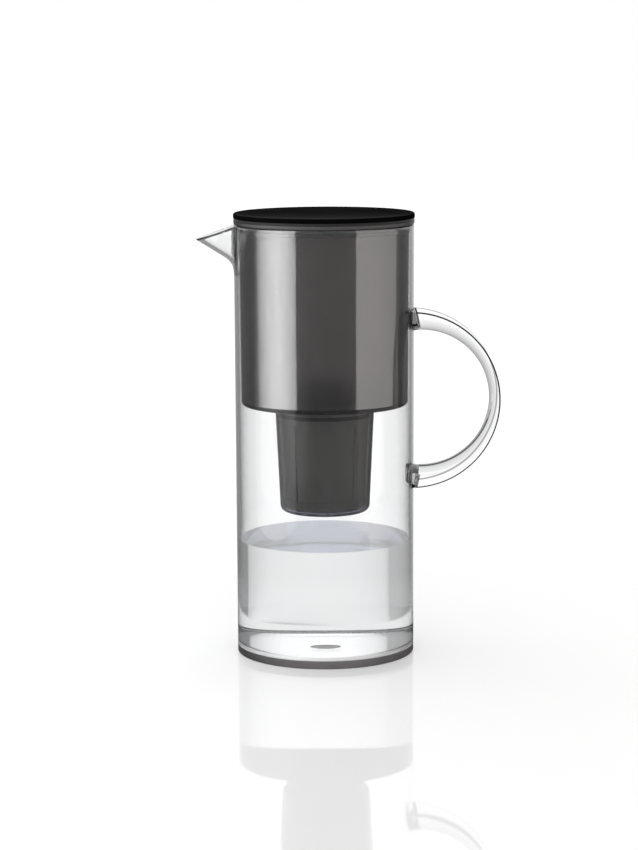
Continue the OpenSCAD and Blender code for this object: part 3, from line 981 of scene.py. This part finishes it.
def soft_edges():
    """Node group that shades a solid's round faces smooth and keeps its sharp edges."""
    group = bpy.data.node_groups.new("soft_edges", "GeometryNodeTree")
    group.interface.new_socket("Geometry", in_out="INPUT", socket_type="NodeSocketGeometry")
    group.interface.new_socket("Geometry", in_out="OUTPUT", socket_type="NodeSocketGeometry")
    graph = Graph(group)
    start = graph.add("NodeGroupInput").outputs[0]
    weld = graph.add("GeometryNodeMergeByDistance", {"Geometry": start, "Distance": 1e-6}).outputs["Geometry"]
    faces = graph.add("GeometryNodeSetShadeSmooth", {"Geometry": weld}, domain="FACE").outputs["Geometry"]
    angle = graph.add("GeometryNodeInputMeshEdgeAngle").outputs["Unsigned Angle"]
    over = graph.add("FunctionNodeCompare", {0: angle, 1: math.radians(SHARP_DEG)}).outputs[0]
    sharp = {"Geometry": faces, "Selection": over, "Shade Smooth": False}
    edges = graph.add("GeometryNodeSetShadeSmooth", sharp, domain="EDGE").outputs["Geometry"]
    graph.add("NodeGroupOutput", {0: edges})
    return group


soften = soft_edges()
for node, look in NODE_LOOKS.items():
    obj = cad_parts[node]
    obj.data.materials.clear()
    obj.data.materials.append(look)
    obj.modifiers.new("soft_edges", "NODES").node_group = soften

# Table, light and camera: places in metres, angles in degrees

# What is seen through the jug by angle: white behind it and grey beside it
STUDIO = [
    (-100, 0.6), (-60, 0.45), (-40, 0.56), (-25, 0.6), (-24, 0.76), (-21, 0.86), (-17, 0.91), (-9, 0.98), (0, 1.0),
    (15, 0.98), (21, 0.92), (29, 0.82), (37.5, 0.73), (38.5, 0.38), (60, 0.36), (100, 0.6),
]
STUDIO_WHITE = 1.07
# What the jug's outermost edges mirror by angle
REAR = [(-36, 0.0), (-20, 0.3), (0, 0.3), (2, 0.8), (20, 0.8), (28, 0.5), (44, 0.0)]


def staged(name, look, corners):
    """A flat piece of the stage, with a look that is still empty."""
    mesh = bpy.data.meshes.new(name)
    mesh.from_pydata(corners, [], [(0, 1, 2, 3)])
    obj = bpy.data.objects.new(name, mesh)
    scene.collection.objects.link(obj)
    mat, graph = material(look)
    graph.nodes.clear()
    mesh.materials.append(mat)
    return obj, graph


def around(angle, distance, z):
    """A point at an angle from the camera's side of the object, positive to its right."""
    a = math.radians(angle)
    return (distance * math.sin(a), -distance * math.cos(a), z)


def panel(name, start, end, glows, tint):
    """A lit panel that stands between two angles, and glows from its first side to the other as (place, level).
    It starts a little below the table, so that no gap shows."""
    distance, low, high = 0.5, -0.02, 1.3
    corners = [around(angle, distance, z) for angle, z in ((start, low), (end, low), (end, high), (start, high))]
    obj, graph = staged(name, name, corners)
    uv = obj.data.uv_layers.new(name="UVMap")
    for loop, at in zip(uv.data, ((0, 0), (1, 0), (1, 1), (0, 1))):
        loop.uv = at
    side = graph.split(graph.add("ShaderNodeUVMap").outputs["UV"])["X"]
    most = max(level for _, level in glows)
    strength = graph.span(graph.ramp(side, [(at, level / most) for at, level in glows]), 0, 1, 0, most)
    mirrored = graph.maths("MULTIPLY", graph.reflected(), graph.by_crossings([(0, 0.4), (1, 0), (4, 1), (5, 0)]))
    shows = graph.maths("MAXIMUM", mirrored, graph.path("Is Diffuse Ray"))
    clear = graph.add("ShaderNodeBsdfTransparent").outputs[0]
    graph.out(graph.mix(shows, clear, graph.glow(strength, tint)))
    obj.visible_camera = False


LEFT_GLOWS = [
    (0, 2.4), (0.12, 3.2), (0.195, 3.9), (0.27, 4.4), (0.42, 5.0), (0.62, 4.1), (0.8, 2.75), (0.92, 1.65), (1, 0.8),
]
RIGHT_GLOWS = [(0, 1.62), (0.5, 1.37), (0.9, 0.95), (1, 0.65)]
panel("panel_left", -36.3, -96.5, LEFT_GLOWS, (1, 1, 1))
panel("panel_right", 40.5, 107, RIGHT_GLOWS, (1, 0.95, 0.94))


def seen_table(graph, where):
    """The table as seen directly, and its level where it is seen through the jug: the studio's sides meet at an
    apex behind the jug, and all is white up to there."""
    apex, fade = (0.0045, 0.0795, 0), (0.024, 0.009)
    matt = graph.add("ShaderNodeBsdfDiffuse", {"Color": (0.9, 0.9, 0.9, 1)}).outputs[0]
    both = graph.add("ShaderNodeAddShader", {0: matt, 1: graph.glow(0.36)}).outputs[0]
    shine = graph.add("ShaderNodeBsdfGlossy", {"Roughness": 0.03}).outputs[0]
    split = graph.split(graph.vector("SUBTRACT", where, apex))
    turn = graph.maths("ARCTANGENT", graph.maths("DIVIDE", split["X"], split["Y"]))
    level = graph.maths("MAXIMUM", graph.by_angle(STUDIO, turn), graph.span(split["Y"], *fade))
    return graph.mix(graph.refracted(), graph.mix(0.3, both, shine), graph.glow(level, STUDIO_WHITE))


def mirrored_table(graph, where):
    """The table as the object mirrors it: dim, brighter inside the clear walls and left of the jug, close round
    the base, and far behind for the jug's outermost edges."""
    dim, inner, base = 0.05, 0.34, 0.9
    left = graph.span(graph.vector("DISTANCE", where, (-0.07, 0, 0)), 0.08, 0.14, 2.4, 1.0)
    close = graph.span(graph.vector("LENGTH", where), 0.16, 0.1)
    level = graph.maths("MULTIPLY", graph.by_crossings([(0, dim), (1, inner), (4, dim)]), left)
    level = graph.maths("MULTIPLY_ADD", graph.by_crossings([(0, 0), (5, base)]), close, level)
    split = graph.split(where)
    rear = graph.by_angle(REAR, graph.maths("ARCTAN2", split["X"], split["Y"]))
    return graph.glow(graph.maths("MULTIPLY_ADD", graph.by_crossings([(0, 1), (1, 0)]), rear, level))


def make_floor():
    size = 6.0
    corners = [(-size, -size, 0), (size, -size, 0), (size, size, 0), (-size, size, 0)]
    _, graph = staged("floor", "pale_table", corners)
    where = graph.place()
    graph.out(graph.mix(graph.reflected(), seen_table(graph, where), mirrored_table(graph, where)))


make_floor()


def make_world():
    """White all round, but with the studio's grey sides for what is seen through clear pieces, and with more
    contrast for what is mirrored through them."""
    gain = 0.38
    world = bpy.data.worlds.new("studio")
    scene.world = world
    world.use_nodes = True
    graph = Graph(world.node_tree)
    white = world.node_tree.nodes["Background"]
    white.inputs["Color"].default_value = (1, 1, 1, 1)
    mirrored = graph.maths("MULTIPLY", graph.reflected(), graph.by_crossings([(0, 0), (4, 0.5), (5, 1)]))
    split = graph.split(graph.add("ShaderNodeTexCoord").outputs["Generated"])
    level = graph.by_angle(STUDIO, graph.maths("ARCTAN2", split["X"], split["Y"]))
    level = graph.maths("POWER", level, graph.maths("ADD", mirrored, 1.0))
    level = graph.maths("MULTIPLY", level, graph.maths("MULTIPLY_ADD", mirrored, gain, 1.0))
    inputs = {"Color": (*rgb(STUDIO_WHITE), 1.0), "Strength": level}
    sides = graph.add("ShaderNodeBackground", inputs).outputs[0]
    shows = graph.maths("MAXIMUM", graph.refracted(), mirrored)
    graph.put(world.node_tree.nodes["World Output"].inputs["Surface"], graph.mix(shows, white.outputs[0], sides))


make_world()
scene.view_settings.view_transform = "Standard"

camera = bpy.data.objects.new("camera", bpy.data.cameras.new("camera"))
scene.collection.objects.link(camera)
camera.data.lens = 108.29
camera.data.sensor_width = 36.0
camera.location = (-0.003564, -1.55806, 0.37733)
camera.rotation_mode = "ZYX"
camera.rotation_euler = (math.radians(90 - 8.6228), 0, math.radians(-0.2646))
scene.camera = camera
